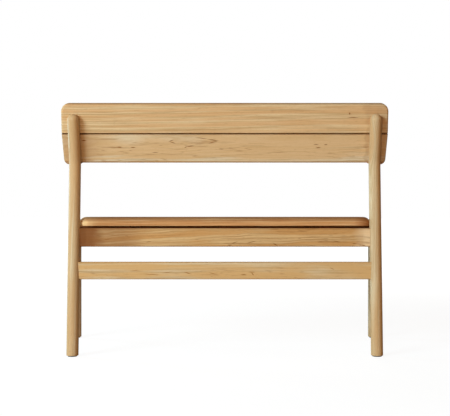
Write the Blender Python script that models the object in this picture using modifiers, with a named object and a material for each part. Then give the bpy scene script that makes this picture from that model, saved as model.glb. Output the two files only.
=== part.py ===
"""Oak bench with a two-board back rest on round, bent back legs.

Frame: +X along the bench, front toward -Y, +Z up, floor at Z = 0.
The origin lies on the floor, midway between the feet.
Sizes are in metres and angles in degrees.
"""
from math import atan2, cos, pi, radians, sin, tan

import bmesh
import bpy
from mathutils import Matrix, Vector

# Legs
leg_radius = 0.020
back_leg_half_spread = 0.506
front_leg_outset = 0.0595
feet_depth = 0.448
back_leg_rake = 4.8
back_rest_lean = 14.5
knee_height = 0.646
knee_bend_radius = 0.120
back_leg_dome_distance = 0.1453
foot_rounding = 0.003
leg_cut_allowance = 0.020

# Seat board
seat_top_height = 0.459
seat_thickness = 0.027
seat_top_rounding = 0.0235
seat_top_drop = 0.016
seat_bottom_rounding = 0.0025
seat_overhang = 0.015
seat_end_inset = 0.0165
seat_corner_radius = 0.056

# Rails under the seat
rail_thickness = 0.018
rail_height = 0.063
rail_below_seat = 0.0067
rail_face_offset = 0.002
rail_flare = 0.0055
rail_flare_length = 0.022
rail_flare_power = 1.25
rail_tenon_offset = -0.006
rail_edge_rounding = 0.0025

# Rear stretcher
stretcher_thickness = 0.020
stretcher_height = 0.0584
stretcher_face_offset = 0.0155
stretcher_bottom = 0.254
stretcher_edge_rounding = 0.003

# Back boards, measured along the lean of the back rest
board_thickness = 0.024
upper_board_height = 0.1009
lower_board_height = 0.0954
board_gap = 0.0022
board_end_reach = 0.0440
board_top_narrowing = 0.0020
board_bottom_narrowing = 0.0055
board_top_corner_radius = 0.027
board_bottom_corner_radius = 0.019
board_long_rounding = 0.0025
board_end_rounding = 0.0070
board_housing_depth = 0.010
lug_drop = 0.0095
lug_inner_reach = 0.024
lug_step_length = 0.010
lug_step_radius = 0.006
housing_run_out = 0.050

# Joints
tenon_thickness = 0.010
tenon_shoulder = 0.004
tenon_depth = 0.026
tenon_root = 0.012
stretcher_tenon_height = 0.040
stretcher_tenon_offset = 0.003
dowel_radius = 0.005
dowel_length = 0.038
dowel_board_cover = 0.004
dowel_end_distance = 0.026
upper_dowel_end_distance = 0.014
dowel_below_dome = 0.007

# Bearers and their screws
bearer_width = 0.045
bearer_height = 0.030
bearer_leg_distance = 0.166
bearer_stub_depth = 0.009
bearer_shoulder = 0.005
screw_spread = 0.240
screw_shank_radius = 0.0022
screw_head_radius = 0.0044
screw_head_height = 0.0028
screw_tip_radius = 0.0009
screw_tip_length = 0.0044
screw_bite = 0.016
screw_well_radius = 0.0055
screw_well_depth = 0.012

# Glides under the feet
glide_radius = 0.0160
glide_height = 0.003
glide_rounding = 0.001
glide_pin_radius = 0.003
glide_pin_length = 0.010

# Clearances between pieces
fit_gap = 0.0003
hole_gap = 0.0004
end_gap = 0.0008

# Facets of round pieces
leg_sides = 32
small_sides = 16
bend_steps = 6
dome_steps = 7
last_dome_angle = 84

front_leg_half_spread = back_leg_half_spread + front_leg_outset
board_half_length = back_leg_half_spread + board_end_reach
bearer_spacing = back_leg_half_spread - bearer_leg_distance
rear_foot_y = feet_depth / 2
front_foot_y = -feet_depth / 2
foot_bottom = glide_height + fit_gap
knee_y = rear_foot_y - tan(radians(back_leg_rake)) * knee_height
seat_bottom_height = seat_top_height - seat_thickness
rail_top = seat_bottom_height - rail_below_seat
rail_bottom = rail_top - rail_height
rail_middle = rail_top - rail_height / 2
housing_floor = leg_radius + fit_gap
board_back_face = housing_floor - board_housing_depth
board_front_face = board_back_face + board_thickness
upper_board_foot = lower_board_height + board_gap


def back_leg_y(height):
    """Y of a back leg's axis below its knee."""
    return rear_foot_y - tan(radians(back_leg_rake)) * height


def on_back_rest(x, up, forward):
    """A point given along the back rest's lean, from the knee, as world coordinates."""
    lean = radians(back_rest_lean)
    return Vector((
        x,
        knee_y + up * sin(lean) - forward * cos(lean),
        knee_height + up * cos(lean) + forward * sin(lean),
    ))


def back_rest_matrix(x, up, forward):
    """Places an object whose local X runs along the bench, Y up the back rest and Z forward."""
    lean = radians(back_rest_lean)
    turn = Matrix((
        (1, 0, 0),
        (0, sin(lean), -cos(lean)),
        (0, cos(lean), sin(lean)),
    )).to_4x4()
    return Matrix.Translation(on_back_rest(x, up, forward)) @ turn


def clear_scene():
    for item in list(bpy.data.objects):
        bpy.data.objects.remove(item, do_unlink=True)


def new_collection(name):
    group = bpy.data.collections.new(name)
    bpy.context.scene.collection.children.link(group)
    return group


def make_material(name, colour, roughness, metallic=0.0):
    material = bpy.data.materials.new(name)
    material.use_nodes = True
    shader = material.node_tree.nodes["Principled BSDF"]
    shader.inputs["Base Color"].default_value = (*colour, 1.0)
    shader.inputs["Roughness"].default_value = roughness
    shader.inputs["Metallic"].default_value = metallic
    return material


clear_scene()
parts = new_collection("bench")
cutters = new_collection("cutters")


def link(item, group):
    for owner in list(item.users_collection):
        owner.objects.unlink(item)
    group.objects.link(item)
    if group is cutters:
        item.hide_render = True
        item.display_type = "WIRE"
    return item


def curve_to_mesh(item, group):
    """Swaps a curve object for a welded mesh object of the same name."""
    bpy.context.view_layer.update()
    graph = bpy.context.evaluated_depsgraph_get()
    mesh = bpy.data.meshes.new_from_object(item.evaluated_get(graph))
    name, matrix = item.name, item.matrix_world.copy()
    bpy.data.objects.remove(item, do_unlink=True)
    solid = bpy.data.objects.new(name, mesh)
    solid.matrix_world = matrix
    weld(mesh)
    return link(solid, group)


def weld(mesh):
    work = bmesh.new()
    work.from_mesh(mesh)
    bmesh.ops.remove_doubles(work, verts=work.verts, dist=0.00001)
    bmesh.ops.recalc_face_normals(work, faces=work.faces)
    work.to_mesh(mesh)
    work.free()


def swept_rod(name, stations, radius, sides, group):
    """A round rod along a path; each station is a point and the share of the radius there."""
    curve = bpy.data.curves.new(name, "CURVE")
    curve.dimensions = "3D"
    curve.bevel_depth = radius
    curve.bevel_resolution = (sides - 4) // 2
    curve.use_fill_caps = True
    spline = curve.splines.new("POLY")
    spline.points.add(len(stations) - 1)
    for point, (place, share) in zip(spline.points, stations):
        point.co = (*place, 1.0)
        point.radius = share
    item = bpy.data.objects.new(name, curve)
    bpy.context.scene.collection.objects.link(item)
    return curve_to_mesh(item, group)


def plate(name, outline, thickness, group):
    """A flat plate of an outline in its own XY plane, centred on that plane."""
    curve = bpy.data.curves.new(name, "CURVE")
    curve.dimensions = "2D"
    curve.fill_mode = "BOTH"
    curve.extrude = thickness / 2
    spline = curve.splines.new("POLY")
    spline.points.add(len(outline) - 1)
    for point, (x, y) in zip(spline.points, outline):
        point.co = (x, y, 0.0, 1.0)
    spline.use_cyclic_u = True
    item = bpy.data.objects.new(name, curve)
    bpy.context.scene.collection.objects.link(item)
    return curve_to_mesh(item, group)


def box(name, size, centre, turn, group):
    """A box of the given size, turned about Z, with its scale applied."""
    bpy.ops.mesh.primitive_cube_add(size=1)
    item = bpy.context.object
    item.name = name
    for vertex in item.data.vertices:
        vertex.co = Vector((vertex.co.x * size[0], vertex.co.y * size[1], vertex.co.z * size[2]))
    item.location = centre
    item.rotation_euler = (0, 0, turn)
    return link(item, group)


def cylinder(name, radius, length, matrix, group, sides=small_sides):
    """A cylinder along the local Z of the matrix, turned half a facet off the legs' facets."""
    bpy.ops.mesh.primitive_cylinder_add(radius=radius, depth=length, vertices=sides)
    item = bpy.context.object
    item.name = name
    item.matrix_world = matrix @ Matrix.Rotation(pi / sides, 4, "Z")
    return link(item, group)


def combine(target, tool, operation):
    step = target.modifiers.new(f"{operation.lower()} {tool.name}", "BOOLEAN")
    step.object = tool
    step.operation = operation
    step.solver = "EXACT"


def cut(target, tool):
    combine(target, tool, "DIFFERENCE")


def join(target, tool):
    combine(target, tool, "UNION")


def finish(item, material, smooth_angle=35.0):
    item.data.materials.clear()
    item.data.materials.append(material)
    item.data.shade_smooth()
    item.data.set_sharp_from_angle(angle=radians(smooth_angle))


def rounded_polygon(corners, radii, steps=8):
    """Corner points, counter-clockwise, each rounded to its own radius or, at 0, left sharp."""
    points = []
    count = len(corners)
    for i, (corner, radius) in enumerate(zip(corners, radii)):
        if radius == 0:
            points.append(corner)
            continue
        here = Vector(corner)
        before = (Vector(corners[i - 1]) - here).normalized()
        after = (Vector(corners[(i + 1) % count]) - here).normalized()
        half = before.angle(after) / 2
        centre = here + (before + after).normalized() * (radius / sin(half))
        first = here + before * (radius / tan(half)) - centre
        last = here + after * (radius / tan(half)) - centre
        a0 = atan2(first.y, first.x)
        a1 = atan2(last.y, last.x)
        sweep = (a1 - a0 + pi) % (2 * pi) - pi
        for k in range(steps + 1):
            a = a0 + sweep * k / steps
            points.append((centre.x + radius * cos(a), centre.y + radius * sin(a)))
    return points


def round_edges(item, width_at, segments=3):
    """Rounds the rim edges of a plate; width_at gives the radius at an edge's middle."""
    mesh = item.data
    half = max(vertex.co.z for vertex in mesh.vertices)
    work = bmesh.new()
    work.from_mesh(mesh)
    bmesh.ops.dissolve_limit(work, angle_limit=0.001, verts=work.verts, edges=work.edges)
    rims = {}
    for edge in work.edges:
        a, b = edge.verts
        flat = abs(abs(a.co.z) - half) < 1e-6 and abs(a.co.z - b.co.z) < 1e-6
        upright = any(abs(face.normal.z) < 0.5 for face in edge.link_faces)
        if flat and upright:
            rims[edge.index] = width_at((a.co + b.co) / 2)
    work.to_mesh(mesh)
    work.free()
    widest = max(rims.values())
    weights = mesh.attributes.new("bevel_weight_edge", "FLOAT", "EDGE")
    for index, width in rims.items():
        weights.data[index].value = width / widest
    rounding = item.modifiers.new("round edges", "BEVEL")
    rounding.limit_method = "WEIGHT"
    rounding.width = widest
    rounding.segments = segments
    rounding.use_clamp_overlap = False


# Materials, with the colours seen in the photograph
oak = make_material("oiled oak", (0.584, 0.386, 0.188), 0.45)
oak_legs = make_material("oiled oak, turned", (0.620, 0.420, 0.215), 0.42)
beech = make_material("beech", (0.640, 0.440, 0.270), 0.55)
steel = make_material("zinc plated steel", (0.600, 0.600, 0.580), 0.35, 1.0)
nylon = make_material("dark nylon", (0.050, 0.040, 0.032), 0.55)


def dome_stations(centre, direction, radius):
    """Stations of a half-round end on a rod, from its centre to just short of its tip."""
    angles = [radians(last_dome_angle * i / dome_steps) for i in range(1, dome_steps + 1)]
    return [(centre + direction * (radius * sin(a)), cos(a)) for a in angles]


def back_leg_stations(x, extra=0.0):
    """The axis of a back leg: raked shank, bend at the knee, leaning top and dome."""
    rake = radians(back_leg_rake)
    lean = radians(back_rest_lean)
    foot = Vector((x, rear_foot_y, 0.0))
    knee = Vector((x, knee_y, knee_height))
    up_shank = (knee - foot).normalized()
    up_top = Vector((0, sin(lean), cos(lean)))
    bend = rake + lean
    tangent = knee_bend_radius * tan(bend / 2)
    start = knee - up_shank * tangent
    centre = start + Vector((0, cos(rake), sin(rake))) * knee_bend_radius
    below_floor = foot - up_shank * leg_cut_allowance
    stations = [(below_floor, 1.0)]
    for i in range(bend_steps + 1):
        a = bend * i / bend_steps - rake
        place = centre + Vector((0, -cos(a), sin(a))) * knee_bend_radius
        stations.append((place, 1.0))
    dome_centre = knee + up_top * back_leg_dome_distance
    stations.append((dome_centre, 1.0))
    return stations + dome_stations(dome_centre, up_top, leg_radius + extra)


def front_leg_stations(x, extra=0.0):
    below_floor = Vector((x, front_foot_y, -leg_cut_allowance))
    dome_centre = Vector((x, front_foot_y, seat_top_height - leg_radius))
    up = Vector((0, 0, 1))
    return [(below_floor, 1.0), (dome_centre, 1.0)] + dome_stations(dome_centre, up, leg_radius + extra)


def flatten_foot(item):
    """Cuts a leg level at its glide and rounds the rim of the cut."""
    work = bmesh.new()
    work.from_mesh(item.data)
    everything = work.verts[:] + work.edges[:] + work.faces[:]
    bmesh.ops.bisect_plane(
        work, geom=everything, plane_co=(0, 0, foot_bottom), plane_no=(0, 0, -1), clear_outer=True
    )
    rim = [edge for edge in work.edges if edge.is_boundary]
    bmesh.ops.contextual_create(work, geom=rim)
    rim = [
        edge for edge in work.edges
        if all(abs(vertex.co.z - foot_bottom) < 1e-6 for vertex in edge.verts)
    ]
    bmesh.ops.bevel(work, geom=rim, offset=foot_rounding, segments=3, profile=0.5, affect="EDGES")
    bmesh.ops.recalc_face_normals(work, faces=work.faces)
    work.to_mesh(item.data)
    work.free()


def make_legs():
    """Four round legs and, for each, a slightly fatter twin that scribes the rails to it."""
    legs = {}
    for end, side in (("left", -1), ("right", 1)):
        for row, stations, half_spread in (
            ("back", back_leg_stations, back_leg_half_spread),
            ("front", front_leg_stations, front_leg_half_spread),
        ):
            x = side * half_spread
            name = f"{row}_leg_{end}"
            leg = swept_rod(name, stations(x), leg_radius, leg_sides, parts)
            flatten_foot(leg)
            finish(leg, oak_legs)
            scribe = swept_rod(
                f"scribe_{name}", stations(x, fit_gap), leg_radius + fit_gap, leg_sides, cutters
            )
            legs[row, end] = (leg, scribe)
    return legs


def make_glides(legs):
    """A turned glide under each foot, its pin in a hole up the leg."""
    for (row, end), (leg, _) in legs.items():
        side = -1 if end == "left" else 1
        x = side * (back_leg_half_spread if row == "back" else front_leg_half_spread)
        y = rear_foot_y if row == "back" else front_foot_y
        pin_top = glide_height + glide_pin_length
        profile = [
            (0.0, pin_top), (glide_pin_radius, pin_top), (glide_pin_radius, glide_height),
            (glide_radius, glide_height), (glide_radius, glide_rounding),
            (glide_radius - glide_rounding, 0.0), (0.0, 0.0),
        ]
        glide = turned(f"{row}_glide_{end}", profile, leg_sides, parts)
        glide.location = (x, y, 0)
        finish(glide, nylon)
        hole_length = glide_pin_length + end_gap
        hole = cylinder(
            f"glide_hole_{row}_{end}", glide_pin_radius + hole_gap, hole_length * 2,
            Matrix.Translation((x, y, foot_bottom)), cutters,
        )
        cut(leg, hole)


def turned(name, profile, sides, group):
    """A turned piece about Z from a profile of radius and height that starts at its top."""
    mesh = bpy.data.meshes.new(name)
    points = [(radius, 0.0, height) for radius, height in profile]
    mesh.from_pydata(points, [(i, i + 1) for i in range(len(points) - 1)], [])
    item = bpy.data.objects.new(name, mesh)
    link(item, group)
    screw = item.modifiers.new("turn", "SCREW")
    screw.axis = "Z"
    screw.steps = sides
    screw.render_steps = sides
    screw.use_merge_vertices = True
    screw.merge_threshold = 0.00001
    screw.use_smooth_shade = True
    return item


def seat_end_line():
    """X of the seat's end at its back and front edges, level with the two leg axes."""
    back_y = back_leg_y(seat_bottom_height)
    run = Vector((front_leg_half_spread - back_leg_half_spread, front_foot_y - back_y))
    inward = Vector((run.y, -run.x)).normalized() * seat_end_inset
    start = Vector((back_leg_half_spread, back_y)) + inward
    slope = run.x / run.y
    return lambda y: start.x + (y - start.y) * slope


def seat_edge_rounding(place):
    """Rounding of the seat's rim: wide along the top, narrow along the bottom."""
    return seat_top_rounding if place.z > 0 else seat_bottom_rounding


def bake(item):
    """Swaps an object's mesh for the result of its modifiers."""
    bpy.context.view_layer.update()
    graph = bpy.context.evaluated_depsgraph_get()
    mesh = bpy.data.meshes.new_from_object(item.evaluated_get(graph))
    item.modifiers.clear()
    item.data = mesh


def make_seat():
    """The seat slab: corners that pass inside the legs, the top edge a flattened quarter round.

    A thicker slab is rounded and then squashed, which makes the round edge elliptical.
    """
    back = back_leg_y(seat_bottom_height) + seat_overhang
    front = front_foot_y - seat_overhang
    end_at = seat_end_line()
    corners = [
        (end_at(front), front), (end_at(back), back), (-end_at(back), back), (-end_at(front), front),
    ]
    outline = rounded_polygon(corners, [seat_corner_radius] * 4)
    squash = seat_top_drop / seat_top_rounding
    seat = plate("seat_board", outline, seat_thickness / squash, parts)
    round_edges(seat, seat_edge_rounding, segments=6)
    bake(seat)
    for vertex in seat.data.vertices:
        vertex.co.z *= squash
    seat.location = (0, 0, seat_top_height - seat_thickness / 2)
    finish(seat, oak)
    return seat


def cross_rail_outline(half_spread):
    """Plan of the rear or front rail, outer face toward +Y, flared out to the legs at its ends."""
    inner_y = rail_face_offset - rail_thickness
    start = half_spread - leg_radius - rail_flare_length
    flare = []
    for i in range(bend_steps + 1):
        share = i / bend_steps
        rise = rail_flare * share ** rail_flare_power
        flare.append((start + share * rail_flare_length, rail_face_offset + rise))
    right = [(half_spread, inner_y), (half_spread, rail_face_offset + rail_flare)] + flare[::-1]
    left = [(-x, y) for x, y in right[::-1]]
    return right + left


def add_tenon(rail, leg, name, centre, direction, height):
    """A tenon from a rail into a leg, and its mortise; centre is on the leg's axis."""
    turn = atan2(direction.y, direction.x)
    tip = tenon_depth - leg_radius
    length = leg_radius + tenon_root + tip
    middle = centre + direction * (tip - length / 2)
    tenon = box(f"tenon_{name}", (length, tenon_thickness, height), middle, turn, cutters)
    join(rail, tenon)
    deep = length + end_gap
    middle = centre + direction * (tip + end_gap - deep / 2)
    slot_size = (deep, tenon_thickness + 2 * fit_gap, height + 2 * fit_gap)
    cut(leg, box(f"mortise_{name}", slot_size, middle, turn, cutters))


def tenon_bands():
    """Height and middle of the upper and lower tenons, which pass each other in a leg."""
    height = (rail_height - 3 * tenon_shoulder) / 2
    upper = rail_top - tenon_shoulder - height / 2
    lower = rail_bottom + tenon_shoulder + height / 2
    return height, upper, lower


def make_cross_rail(name, row, facing, legs):
    """The rear or front rail; facing is +1 where its outer face looks to +Y."""
    half_spread = back_leg_half_spread if row == "back" else front_leg_half_spread
    axis_y = back_leg_y(rail_middle) if row == "back" else front_foot_y
    outline = [(x, y * facing) for x, y in cross_rail_outline(half_spread)]
    rail = plate(name, outline, rail_height, parts)
    round_edges(rail, lambda place: rail_edge_rounding, segments=2)
    rail.location = (0, axis_y, rail_middle)
    height, upper, _ = tenon_bands()
    centre_y = axis_y + facing * rail_tenon_offset
    for end, side in (("left", -1), ("right", 1)):
        leg, scribe = legs[row, end]
        cut(rail, scribe)
        centre = Vector((side * half_spread, centre_y, upper))
        add_tenon(rail, leg, f"{name}_{end}", centre, Vector((side, 0, 0)), height)
    finish(rail, oak)
    return rail


def make_side_rail(name, end, side, legs):
    """A side rail along the line between its two legs."""
    back = Vector((side * back_leg_half_spread, back_leg_y(rail_middle), rail_middle))
    front = Vector((side * front_leg_half_spread, front_foot_y, rail_middle))
    run = front - back
    length = run.length
    direction = run.normalized()
    turn = atan2(run.y, run.x)
    half = rail_thickness / 2
    outline = [(-length / 2, -half), (length / 2, -half), (length / 2, half), (-length / 2, half)]
    rail = plate(name, outline, rail_height, parts)
    round_edges(rail, lambda place: rail_edge_rounding, segments=2)
    rail.location = (back + front) / 2
    rail.rotation_euler = (0, 0, turn)
    height, _, lower = tenon_bands()
    for row, place, heading in (("back", back, -direction), ("front", front, direction)):
        leg, scribe = legs[row, end]
        cut(rail, scribe)
        centre = Vector((place.x, place.y, lower))
        add_tenon(rail, leg, f"{name}_{row}", centre, heading, height)
    finish(rail, oak)
    return rail


def make_stretcher(legs):
    """The flat stretcher between the back legs."""
    middle_z = stretcher_bottom + stretcher_height / 2
    axis_y = back_leg_y(middle_z)
    outer = stretcher_face_offset
    inner = outer - stretcher_thickness
    x = back_leg_half_spread
    outline = [(-x, inner), (x, inner), (x, outer), (-x, outer)]
    stretcher = plate("rear_stretcher", outline, stretcher_height, parts)
    round_edges(stretcher, lambda place: stretcher_edge_rounding, segments=3)
    stretcher.location = (0, axis_y, middle_z)
    for end, side in (("left", -1), ("right", 1)):
        leg, scribe = legs["back", end]
        cut(stretcher, scribe)
        centre = Vector((side * x, axis_y + stretcher_tenon_offset, middle_z))
        heading = Vector((side, 0, 0))
        add_tenon(stretcher, leg, f"stretcher_{end}", centre, heading, stretcher_tenon_height)
    finish(stretcher, oak)


def upper_board_outline():
    top_x = board_half_length - board_top_narrowing
    corners = [
        (-board_half_length, 0.0), (board_half_length, 0.0),
        (top_x, upper_board_height), (-top_x, upper_board_height),
    ]
    return rounded_polygon(corners, [0, 0, board_top_corner_radius, board_top_corner_radius])


def lower_board_outline():
    """The lower board, deeper by a rounded lug where each leg carries it."""
    bottom_x = board_half_length - board_bottom_narrowing
    lug_x = back_leg_half_spread - lug_inner_reach
    corners = [
        (-bottom_x, -lug_drop), (-lug_x - lug_step_length, -lug_drop), (-lug_x, 0.0),
        (lug_x, 0.0), (lug_x + lug_step_length, -lug_drop), (bottom_x, -lug_drop),
        (board_half_length, lower_board_height), (-board_half_length, lower_board_height),
    ]
    outer = board_bottom_corner_radius
    step = lug_step_radius
    return rounded_polygon(corners, [outer, step, step, step, step, outer, 0, 0], steps=6)


def board_edge_width(place):
    """Round-over at a place on a board's rim: wider at the ends than along the boards."""
    start = board_half_length - board_top_corner_radius
    share = (abs(place.x) - start) / (board_top_corner_radius - board_end_rounding)
    share = min(max(share, 0.0), 1.0)
    return board_long_rounding + (board_end_rounding - board_long_rounding) * share


def make_back_boards(legs):
    """Two boards on the front of the back legs, let in to the legs' round fronts and dowelled."""
    middle = (board_back_face + board_front_face) / 2
    boards = []
    for name, outline, foot in (
        ("back_board_lower", lower_board_outline(), 0.0),
        ("back_board_upper", upper_board_outline(), upper_board_foot),
    ):
        board = plate(name, outline, board_thickness, parts)
        round_edges(board, board_edge_width, segments=3)
        board.matrix_world = back_rest_matrix(0.0, foot, middle)
        boards.append(board)
    for end, side in (("left", -1), ("right", 1)):
        x = side * back_leg_half_spread
        top = on_back_rest(x, back_leg_dome_distance, 0.0)
        up = (top - on_back_rest(x, 0.0, 0.0)).normalized()
        foot = on_back_rest(x, -lug_drop - housing_run_out, 0.0)
        stations = [(foot, 1.0), (top, 1.0)] + dome_stations(top, up, leg_radius + fit_gap)
        housing = swept_rod(f"housing_{end}", stations, leg_radius + fit_gap, leg_sides, cutters)
        for board in boards:
            cut(board, housing)
    make_board_dowels(boards, legs)
    for board in boards:
        finish(board, oak)


def make_board_dowels(boards, legs):
    """Dowels from the legs into the boards, two for each board at each leg."""
    lower, upper = boards
    rows = (
        (lower, dowel_end_distance), (lower, lower_board_height - dowel_end_distance),
        (upper, upper_board_foot + upper_dowel_end_distance),
        (upper, back_leg_dome_distance - dowel_below_dome),
    )
    tip = board_front_face - dowel_board_cover
    middle = tip - dowel_length / 2
    for end, side in (("left", -1), ("right", 1)):
        x = side * back_leg_half_spread
        for i, (board, up) in enumerate(rows, start=1):
            place = back_rest_matrix(x, up, middle)
            dowel = cylinder(f"board_dowel_{end}_{i}", dowel_radius, dowel_length, place, parts)
            finish(dowel, beech)
            bore = cylinder(
                f"dowel_bore_{end}_{i}", dowel_radius + hole_gap, dowel_length + 2 * end_gap, place, cutters
            )
            cut(board, bore)
            cut(legs["back", end][0], bore)


def make_bearers(seat, rear_rail, front_rail):
    """Three bearers between the rear and front rails, screwed up into the seat."""
    rear_face = back_leg_y(rail_middle) + rail_face_offset - rail_thickness
    front_face = front_foot_y - rail_face_offset + rail_thickness
    middle_y = (rear_face + front_face) / 2
    top = seat_bottom_height - fit_gap
    body_length = rear_face - front_face - 2 * fit_gap
    stub_top = rail_top - bearer_shoulder
    stub_bottom = top - bearer_height + bearer_shoulder / 2
    stub_height = stub_top - stub_bottom
    stub_z = (stub_top + stub_bottom) / 2
    stub_width = bearer_width - 2 * bearer_shoulder
    for end, x in (("left", -bearer_spacing), ("centre", 0.0), ("right", bearer_spacing)):
        name = f"seat_bearer_{end}"
        centre = (x, middle_y, top - bearer_height / 2)
        bearer = box(name, (bearer_width, body_length, bearer_height), centre, 0.0, parts)
        stub_length = body_length + 2 * (bearer_stub_depth - end_gap)
        stub_centre = (x, middle_y, stub_z)
        stub = box(f"stub_{name}", (stub_width, stub_length, stub_height), stub_centre, 0.0, cutters)
        join(bearer, stub)
        slot_size = (
            stub_width + 2 * fit_gap, body_length + 2 * bearer_stub_depth, stub_height + 2 * fit_gap
        )
        slot = box(f"slot_{name}", slot_size, stub_centre, 0.0, cutters)
        cut(rear_rail, slot)
        cut(front_rail, slot)
        for row, y in (("front", middle_y - screw_spread / 2), ("back", middle_y + screw_spread / 2)):
            make_screw(f"{end}_{row}", x, y, bearer, seat, top)
        finish(bearer, oak)


def make_screw(name, x, y, bearer, seat, bearer_top):
    """One screw with its head in a well under the bearer and its shank up in the seat."""
    bottom = bearer_top - bearer_height
    seat_face = bottom + screw_well_depth
    tip = bearer_top + screw_bite
    head_top = seat_face - fit_gap
    head_bottom = head_top - screw_head_height
    profile = [
        (0.0, tip), (screw_tip_radius, tip), (screw_shank_radius, tip - screw_tip_length),
        (screw_shank_radius, head_top), (screw_head_radius, head_top),
        (screw_head_radius, head_bottom), (0.0, head_bottom),
    ]
    screw = turned(f"seat_screw_{name}", profile, small_sides, parts)
    screw.location = (x, y, 0)
    finish(screw, steel)
    well = cylinder(
        f"well_{name}", screw_well_radius, 2 * screw_well_depth,
        Matrix.Translation((x, y, bottom)), cutters,
    )
    bore_length = tip + end_gap - bottom
    bore = cylinder(
        f"screw_bore_{name}", screw_shank_radius + hole_gap, bore_length,
        Matrix.Translation((x, y, bottom + bore_length / 2)), cutters,
    )
    cut(bearer, well)
    cut(bearer, bore)
    cut(seat, bore)


legs = make_legs()
make_glides(legs)
seat = make_seat()
rear_rail = make_cross_rail("rear_seat_rail", "back", 1, legs)
front_rail = make_cross_rail("front_seat_rail", "front", -1, legs)
make_side_rail("side_rail_left", "left", -1, legs)
make_side_rail("side_rail_right", "right", 1, legs)
make_stretcher(legs)
make_back_boards(legs)
make_bearers(seat, rear_rail, front_rail)
bpy.context.view_layer.update()
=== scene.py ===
# An oak bench seen from behind: round bent back legs, two back boards, a slab seat on rails.
# Metres, +X along the bench, front toward -Y, +Z up.
import math

import bpy
import numpy as np
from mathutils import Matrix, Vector


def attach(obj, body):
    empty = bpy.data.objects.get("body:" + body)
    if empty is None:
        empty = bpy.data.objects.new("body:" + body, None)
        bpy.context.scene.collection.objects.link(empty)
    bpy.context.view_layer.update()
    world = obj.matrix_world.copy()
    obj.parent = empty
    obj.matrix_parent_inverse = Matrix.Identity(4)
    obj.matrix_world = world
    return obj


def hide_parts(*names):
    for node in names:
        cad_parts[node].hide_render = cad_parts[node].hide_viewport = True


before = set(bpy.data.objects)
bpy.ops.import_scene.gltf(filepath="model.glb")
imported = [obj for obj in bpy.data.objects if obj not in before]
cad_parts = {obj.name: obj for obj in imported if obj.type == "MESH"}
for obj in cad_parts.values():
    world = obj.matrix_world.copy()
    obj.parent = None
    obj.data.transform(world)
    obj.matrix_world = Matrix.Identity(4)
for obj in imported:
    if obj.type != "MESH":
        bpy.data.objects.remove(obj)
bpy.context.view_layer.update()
print("frame loaded:", len(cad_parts), "nodes")

fitGap = 0.0003  # the glue line round a joint
ends = {"left": -1, "right": 1}
alongBench, alongDepth, upright = np.eye(3)


# Mesh helpers

def newObject(name, points, faces):
    mesh = bpy.data.meshes.new(name)
    mesh.from_pydata(points.tolist(), [], faces)
    mesh.update()
    item = bpy.data.objects.new(name, mesh)
    bpy.context.scene.collection.objects.link(item)
    return item


# The volume inside is the sum of a . (b x c) / 6 over the triangles a, b, c; where it is
# negative the faces point inwards and are turned round
def faceOutwards(item):
    mesh = item.data
    mesh.calc_loop_triangles()
    corners = np.zeros(len(mesh.loop_triangles) * 3, np.int32)
    mesh.loop_triangles.foreach_get("vertices", corners)
    points = np.zeros(len(mesh.vertices) * 3)
    mesh.vertices.foreach_get("co", points)
    a, b, c = points.reshape(-1, 3)[corners.reshape(-1, 3)].transpose(1, 0, 2)
    if np.einsum("ij,ij->i", a, np.cross(b, c)).sum() < 0:
        mesh.flip_normals()


# Rings of points joined by quads: point [i, j] is point j of ring i. The first ring is closed
# by a flat face, the last by a fan of triangles to the pole
def skin(name, rings, pole):
    count, sides = rings.shape[:2]
    index = np.arange(count * sides).reshape(count, sides)
    low, high, last = index[:-1], index[1:], index[-1]
    quads = np.stack([low, np.roll(low, -1, 1), np.roll(high, -1, 1), high], -1)
    fan = np.stack([last, np.roll(last, -1), np.full(sides, count * sides)], -1)
    faces = quads.reshape(-1, 4).tolist() + [index[0][::-1].tolist()] + fan.tolist()
    item = newObject(name, np.vstack([rings.reshape(-1, 3), pole]), faces)
    faceOutwards(item)
    item.data.shade_smooth()
    return item


# A polygon's corners, counter-clockwise, each replaced by an arc of its own radius. The arc's
# centre lies on the line that halves the corner, radius / sin(half angle) from it, and the arc
# touches both sides radius / tan(half angle) from the corner
def roundedPolygon(corners, radii, steps):
    pieces = []
    for i, radius in enumerate(radii):
        here = np.array(corners[i], float)
        if radius == 0:
            pieces.append(here[None])
            continue
        before = np.array(corners[i - 1], float) - here
        after = np.array(corners[(i + 1) % len(corners)], float) - here
        before /= np.linalg.norm(before)
        after /= np.linalg.norm(after)
        half = math.acos(np.clip(before @ after, -1, 1)) / 2
        middle = before + after
        centre = here + middle / np.linalg.norm(middle) * (radius / math.sin(half))
        first = here + before * (radius / math.tan(half)) - centre
        last = here + after * (radius / math.tan(half)) - centre
        start = math.atan2(first[1], first[0])
        sweep = (math.atan2(last[1], last[0]) - start + math.pi) % (2 * math.pi) - math.pi
        angles = start + sweep * np.linspace(0, 1, steps + 1)
        pieces.append(centre + radius * np.stack([np.cos(angles), np.sin(angles)], -1))
    return np.vstack(pieces)


# A flat plate: the outline's x and y run along the first two axes from the origin, and its two
# faces lie half a thickness away along the third
def plate(name, outline, thickness, origin, axes):
    acrossAxis, upAxis, outAxis = axes
    flat = origin + outline[:, :1] * acrossAxis + outline[:, 1:] * upAxis
    points = np.vstack([flat - outAxis * thickness / 2, flat + outAxis * thickness / 2])
    count = len(outline)
    low = np.arange(count)
    rim = np.stack([low, np.roll(low, -1), np.roll(low, -1) + count, low + count], -1)
    faces = rim.tolist() + [low[::-1].tolist(), (low + count).tolist()]
    item = newObject(name, points, faces)
    faceOutwards(item)
    return item


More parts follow.
